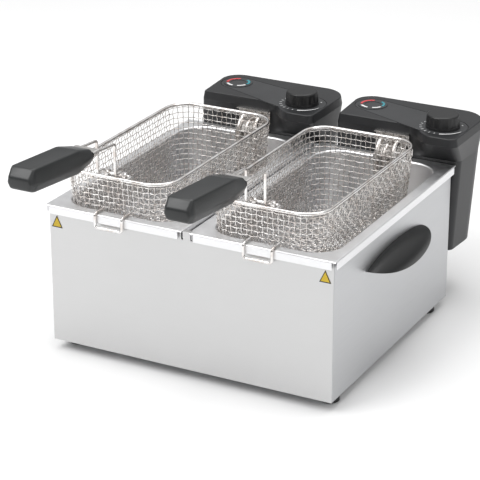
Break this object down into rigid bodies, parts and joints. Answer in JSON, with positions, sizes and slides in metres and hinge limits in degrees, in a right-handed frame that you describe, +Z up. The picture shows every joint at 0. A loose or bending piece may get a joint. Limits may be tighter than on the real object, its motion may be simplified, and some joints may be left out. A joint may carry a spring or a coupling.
{
  "type": "deep fryer",
  "caption": "Countertop twin deep fryer with a stainless casing, lift-out oil tanks, hang-on control heads and wire baskets with folding handles.",
  "frame": {"origin": "on the floor, in the middle of the whole object", "axes": "+X to the user's right, +Y from the basket handles to the control heads, +Z up"},
  "size_m": [0.497, 0.6966, 0.3468],
  "materials": {
    "stainless": "fine brushed",
    "basket_wire": "bright plated wire",
    "head_plastic": "fine grained satin",
    "handle_plastic": "satin",
    "knob_plastic": "satin",
    "reset_plastic": "smooth",
    "red_lens": "clear tinted",
    "green_lens": "clear tinted",
    "element_sheath": "drawn tube",
    "rubber": "moulded",
    "screw_steel": "zinc plated",
    "inner_plastic": "moulded",
    "label_yellow": "printed film"
  },
  "bodies": {
    "casing": {"front_panel": "stainless", "casing_wrap": "stainless", "base_plate": "stainless", "feet": "rubber", "foot_screws": "screw_steel", "centre_rail": "stainless", "caution_labels": "label_yellow", "side_handle_left": "handle_plastic", "side_handle_right": "handle_plastic", "side_handle_screws": "screw_steel"},
    "tank_left": {"oil_tank_left": "stainless"},
    "head_left": {"head_housing_left": "head_plastic", "head_base_cover_left": "head_plastic", "cord_gland_left": "rubber", "top_panel_left": "head_plastic", "indicator_bezel_left": "head_plastic", "red_lens_left": "red_lens", "green_lens_left": "green_lens", "thermostat_left": "inner_plastic", "element_bracket_left": "stainless", "bracket_screws_left": "screw_steel", "heating_element_left": "element_sheath", "thermostat_bulb_left": "element_sheath", "safety_microswitch_left": "inner_plastic", "terminal_block_left": "inner_plastic"},
    "knob_left": {"knob_left": "knob_plastic", "thermostat_shaft_left": "screw_steel"},
    "reset_left": {"reset_button_left": "reset_plastic"},
    "basket_left": {"basket_mesh_left": "basket_wire", "basket_rim_left": "basket_wire", "basket_hook_left": "basket_wire", "handle_bracket_left": "basket_wire"},
    "handle_left": {"handle_wire_left": "basket_wire", "handle_grip_left": "handle_plastic", "grip_ferrule_left": "basket_wire"},
    "tank_right": {"oil_tank_right": "stainless"},
    "head_right": {"head_housing_right": "head_plastic", "head_base_cover_right": "head_plastic", "cord_gland_right": "rubber", "top_panel_right": "head_plastic", "indicator_bezel_right": "head_plastic", "red_lens_right": "red_lens", "green_lens_right": "green_lens", "thermostat_right": "inner_plastic", "element_bracket_right": "stainless", "bracket_screws_right": "screw_steel", "heating_element_right": "element_sheath", "thermostat_bulb_right": "element_sheath", "safety_microswitch_right": "inner_plastic", "terminal_block_right": "inner_plastic"},
    "knob_right": {"knob_right": "knob_plastic", "thermostat_shaft_right": "screw_steel"},
    "reset_right": {"reset_button_right": "reset_plastic"},
    "basket_right": {"basket_mesh_right": "basket_wire", "basket_rim_right": "basket_wire", "basket_hook_right": "basket_wire", "handle_bracket_right": "basket_wire"},
    "handle_right": {"handle_wire_right": "basket_wire", "handle_grip_right": "handle_plastic", "grip_ferrule_right": "basket_wire"}
  },
  "joints": [
    {"name": "tank_left_lift", "type": "slide", "parent": "casing", "child": "tank_left", "axis": [0, 0, 1], "range_m": [0, 0.25]},
    {"name": "head_left_lift", "type": "slide", "parent": "tank_left", "child": "head_left", "axis": [0, 0, 1], "range_m": [0, 0.04]},
    {"name": "knob_left_turn", "type": "hinge", "parent": "head_left", "child": "knob_left", "pos_m": [-0.035, 0.26225, 0.28], "axis": [0, 0, -1], "range_deg": [0, 270]},
    {"name": "reset_left_press", "type": "slide", "parent": "head_left", "child": "reset_left", "axis": [0, -1, 0], "range_m": [0, 0.0025], "stiffness_N_per_m": 800},
    {"name": "basket_left_lift", "type": "slide", "parent": "tank_left", "child": "basket_left", "axis": [0, 0, 1], "range_m": [0, 0.2]},
    {"name": "handle_left_fold", "type": "hinge", "parent": "basket_left", "child": "handle_left", "pos_m": [-0.131, -0.11375, 0.263], "axis": [-1, 0, 0], "range_deg": [0, 175]},
    {"name": "tank_right_lift", "type": "slide", "parent": "casing", "child": "tank_right", "axis": [0, 0, 1], "range_m": [0, 0.25]},
    {"name": "head_right_lift", "type": "slide", "parent": "tank_right", "child": "head_right", "axis": [0, 0, 1], "range_m": [0, 0.04]},
    {"name": "knob_right_turn", "type": "hinge", "parent": "head_right", "child": "knob_right", "pos_m": [0.191, 0.26225, 0.28], "axis": [0, 0, -1], "range_deg": [0, 270]},
    {"name": "reset_right_press", "type": "slide", "parent": "head_right", "child": "reset_right", "axis": [0, -1, 0], "range_m": [0, 0.0025], "stiffness_N_per_m": 800},
    {"name": "basket_right_lift", "type": "slide", "parent": "tank_right", "child": "basket_right", "axis": [0, 0, 1], "range_m": [0, 0.2]},
    {"name": "handle_right_fold", "type": "hinge", "parent": "basket_right", "child": "handle_right", "pos_m": [0.095, -0.11375, 0.263], "axis": [-1, 0, 0], "range_deg": [0, 175]}
  ]
}
